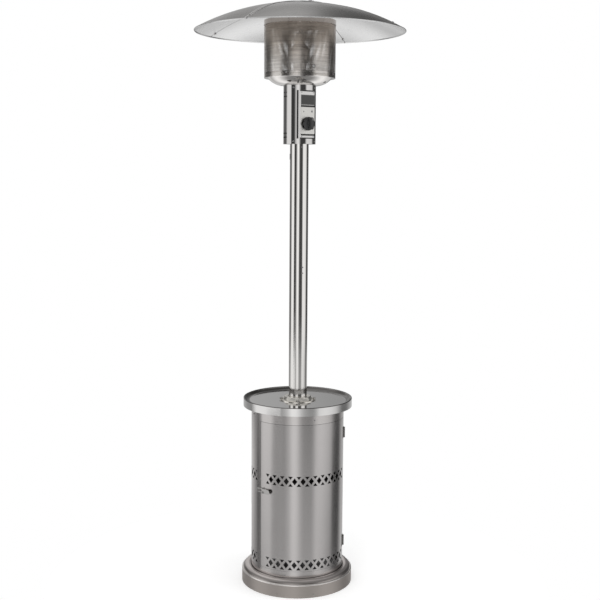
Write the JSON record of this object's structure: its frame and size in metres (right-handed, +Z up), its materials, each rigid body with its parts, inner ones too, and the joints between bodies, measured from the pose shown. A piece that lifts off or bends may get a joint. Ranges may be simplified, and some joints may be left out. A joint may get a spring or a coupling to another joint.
{
  "type": "patio heater",
  "caption": "Free-standing gas patio heater: round housing with hinged lattice-vented door, table ring, polished post, burner head with control knob, and petal hood.",
  "frame": {"origin": "on the floor under the post's axis, the middle of the base", "axes": "+Z up along the post, the middle of the door faces -Y, +X to the right seen from the front"},
  "size_m": [0.8128, 0.8128, 2.2851],
  "materials": {
    "zinc_steel": "zinc-plated, satin",
    "base_steel": "satin brushed",
    "wheel_plastic": "moulded",
    "housing_steel": "satin brushed",
    "hinge_steel": "bright",
    "table_steel": "satin brushed",
    "polished_steel": "polished",
    "black_rubber": "matt",
    "dark_plate": "satin",
    "dial_aluminium": "satin",
    "cast_aluminium": "die-cast",
    "fitting_brass": "machined",
    "black_plastic": "fine texture",
    "burner_steel": "heat-toned",
    "bowl_steel": "satin",
    "screen_steel": "perforated",
    "hood_aluminium": "brushed"
  },
  "bodies": {
    "heater": {"base_pan": "zinc_steel", "base_cover": "base_steel", "wheel_bracket": "zinc_steel", "wheel_axle": "zinc_steel", "axle_caps": "zinc_steel", "frame_bolts": "zinc_steel", "housing_shell": "housing_steel", "housing_collar": "housing_steel", "support_leg_left": "zinc_steel", "support_leg_right": "zinc_steel", "support_leg_rear": "zinc_steel", "support_plate": "zinc_steel", "frame_hinge_leaves": "hinge_steel", "hinge_pins": "hinge_steel", "latch_keeper": "hinge_steel", "table_top": "table_steel", "post_flange": "polished_steel", "flange_bolts": "zinc_steel", "lower_post": "polished_steel", "post_sleeve": "zinc_steel", "upper_post": "polished_steel", "post_grommet": "black_rubber", "head_bottom_cap": "polished_steel", "head_shell": "polished_steel", "head_top_cap": "polished_steel", "control_panel": "polished_steel", "label_plate": "dark_plate", "dial_plate": "dial_aluminium", "valve_body": "cast_aluminium", "valve_inlet": "fitting_brass", "tilt_switch": "black_plastic", "gas_tube": "cast_aluminium", "burner_tube": "burner_steel", "burner_head": "burner_steel", "pilot_bracket": "burner_steel", "pilot_rods": "burner_steel", "burner_bowl": "bowl_steel", "burner_screen": "screen_steel", "screen_eyelet": "hinge_steel", "screen_ring": "screen_steel", "emitter_plate": "screen_steel", "hood_studs": "zinc_steel", "hood_cap": "hood_aluminium", "hood_petal_1": "hood_aluminium", "hood_petal_2": "hood_aluminium", "hood_petal_3": "hood_aluminium", "hood_petal_4": "hood_aluminium", "hood_screws": "zinc_steel", "pan_screws": "zinc_steel"},
    "door": {"door_panel": "housing_steel", "door_hinge_leaves": "hinge_steel", "latch_base": "hinge_steel"},
    "lever": {"latch_lever": "hinge_steel"},
    "bail": {"latch_bail": "hinge_steel"},
    "knob_slide": {"stem_collar": "cast_aluminium"},
    "knob": {"control_knob": "black_plastic", "valve_stem": "cast_aluminium"},
    "left_wheel": {"wheel_left": "wheel_plastic"},
    "right_wheel": {"wheel_right": "wheel_plastic"}
  },
  "joints": [
    {"name": "door_swing", "type": "hinge", "parent": "heater", "child": "door", "pos_m": [0.17389, -0.0696, 0.4], "axis": [0, 0, 1], "range_deg": [0, 120]},
    {"name": "latch_lever_swing", "type": "hinge", "parent": "door", "child": "lever", "pos_m": [-0.16961, -0.08522, 0.402], "axis": [0, 0, -1], "range_deg": [0, 100]},
    {"name": "latch_bail_swing", "type": "hinge", "parent": "lever", "child": "bail", "pos_m": [-0.16499, -0.09064, 0.402], "axis": [0, 0, -1], "range_deg": [-100, 0]},
    {"name": "knob_push", "type": "slide", "parent": "heater", "child": "knob_slide", "axis": [-0.284, 0.9588, 0], "range_m": [0, 0.005], "stiffness_N_per_m": 900},
    {"name": "knob_turn", "type": "hinge", "parent": "knob_slide", "child": "knob", "pos_m": [0.01704, -0.05753, 1.825], "axis": [0.284, -0.9588, 0], "range_deg": [0, 240]},
    {"name": "wheel_left_spin", "type": "hinge", "parent": "heater", "child": "left_wheel", "pos_m": [-0.0633, 0.258, 0.034], "axis": [1, 0, 0], "continuous": true},
    {"name": "wheel_right_spin", "type": "hinge", "parent": "heater", "child": "right_wheel", "pos_m": [0.0633, 0.258, 0.034], "axis": [1, 0, 0], "continuous": true}
  ],
  "couplings": [
    {"joint": "latch_bail_swing", "follows": "latch_lever_swing", "ratio": -1}
  ]
}
